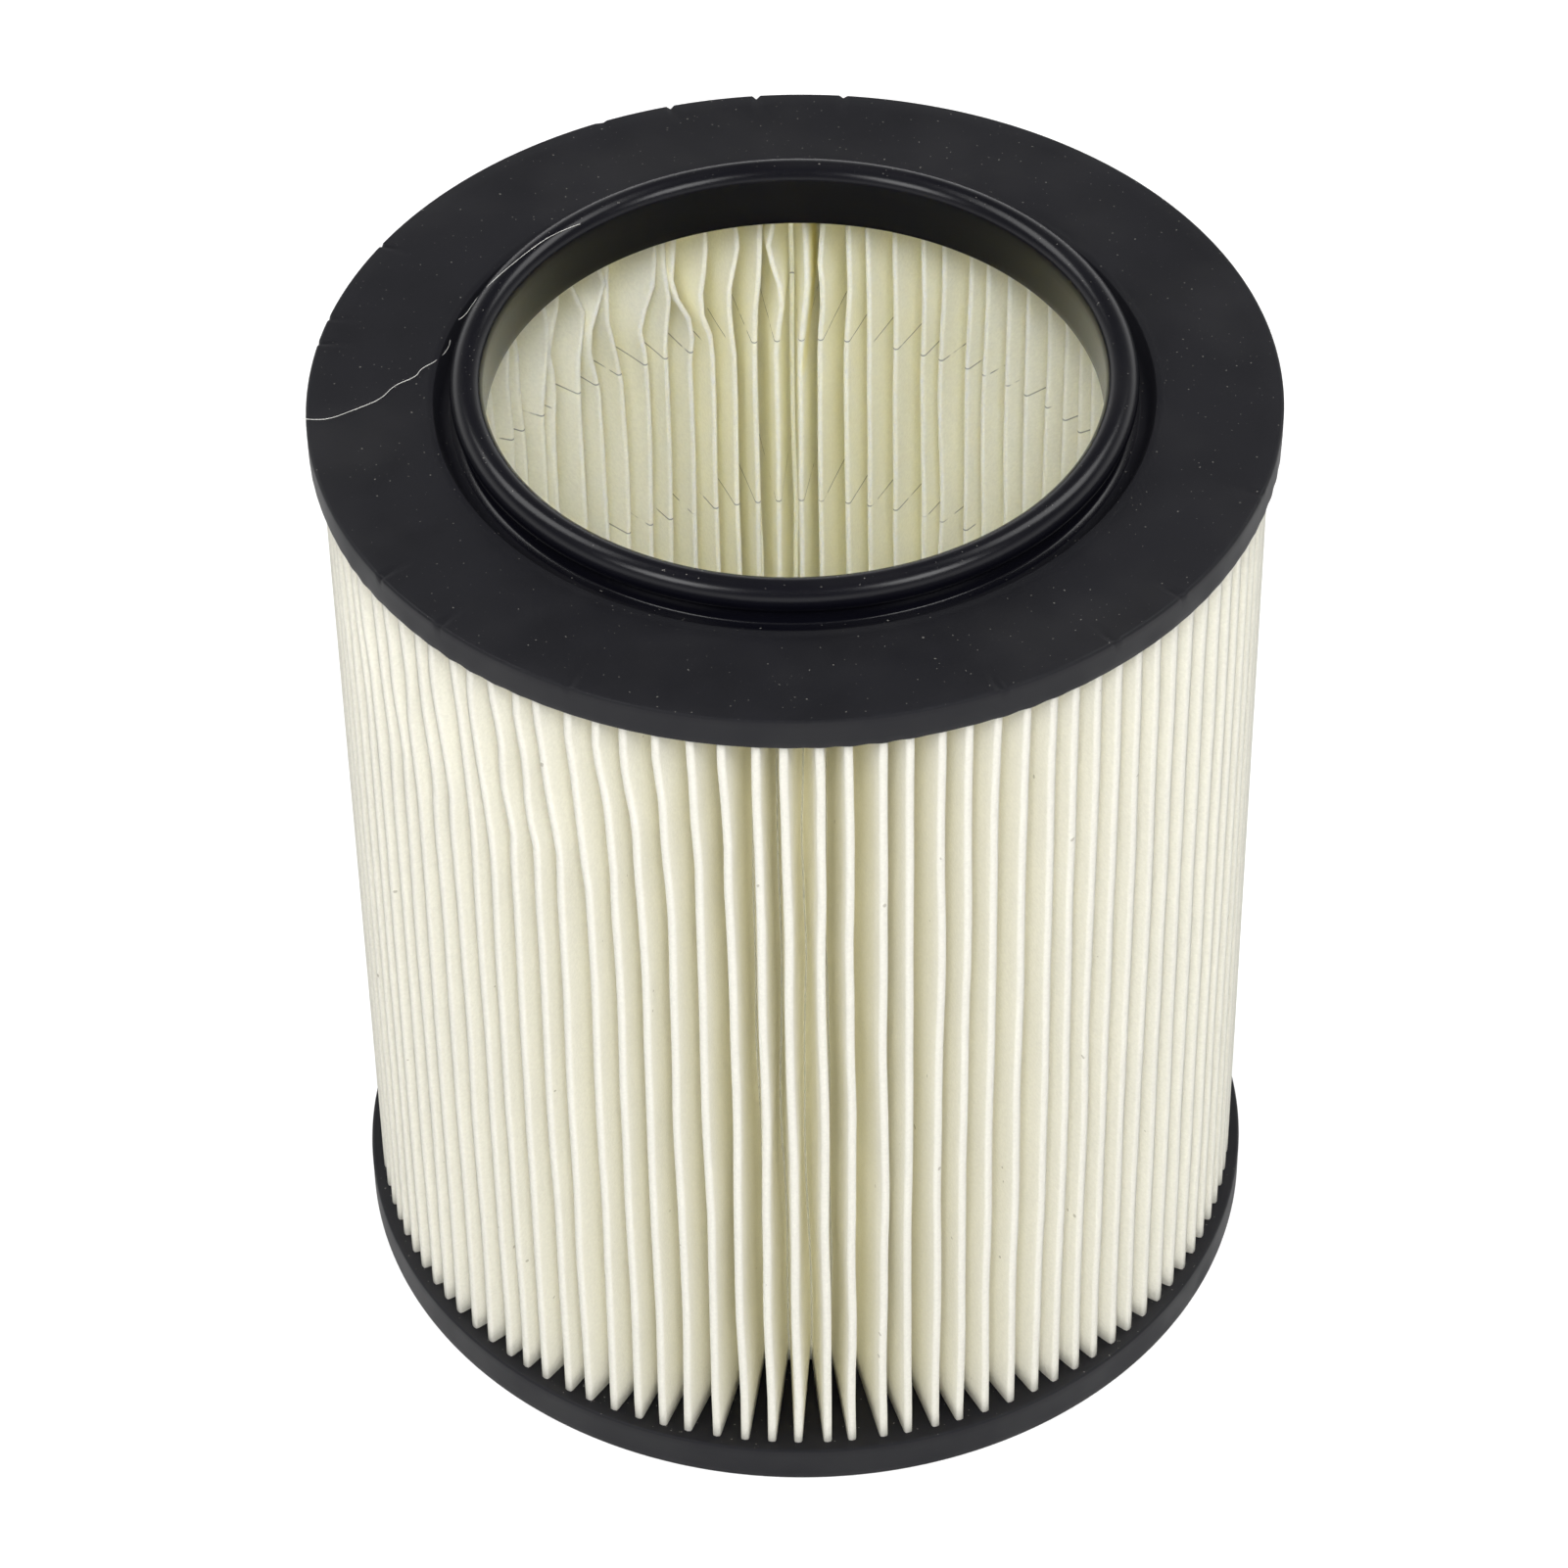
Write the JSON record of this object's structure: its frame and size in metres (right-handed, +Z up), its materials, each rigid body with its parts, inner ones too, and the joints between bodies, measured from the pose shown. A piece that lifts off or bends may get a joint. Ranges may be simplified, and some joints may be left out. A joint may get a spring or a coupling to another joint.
{
  "type": "vacuum cleaner cartridge filter",
  "caption": "Cylindrical pleated paper filter cartridge with moulded rubber end caps, a wide top opening with a raised sealing lip, and a closed base.",
  "frame": {"origin": "middle of the base, on the surface that the cartridge stands on", "axes": "+Z up along the cartridge axis, towards the opening; -Y towards the viewer of the picture"},
  "size_m": [0.18, 0.18, 0.2107],
  "materials": {
    "cap_rubber": "matt black moulded rubber with a little dust",
    "filter_paper": "matt cream filter paper"
  },
  "bodies": {
    "root": {"top_end_cap": "cap_rubber", "pleated_media": "filter_paper", "base_end_cap": "cap_rubber"}
  },
  "joints": []
}
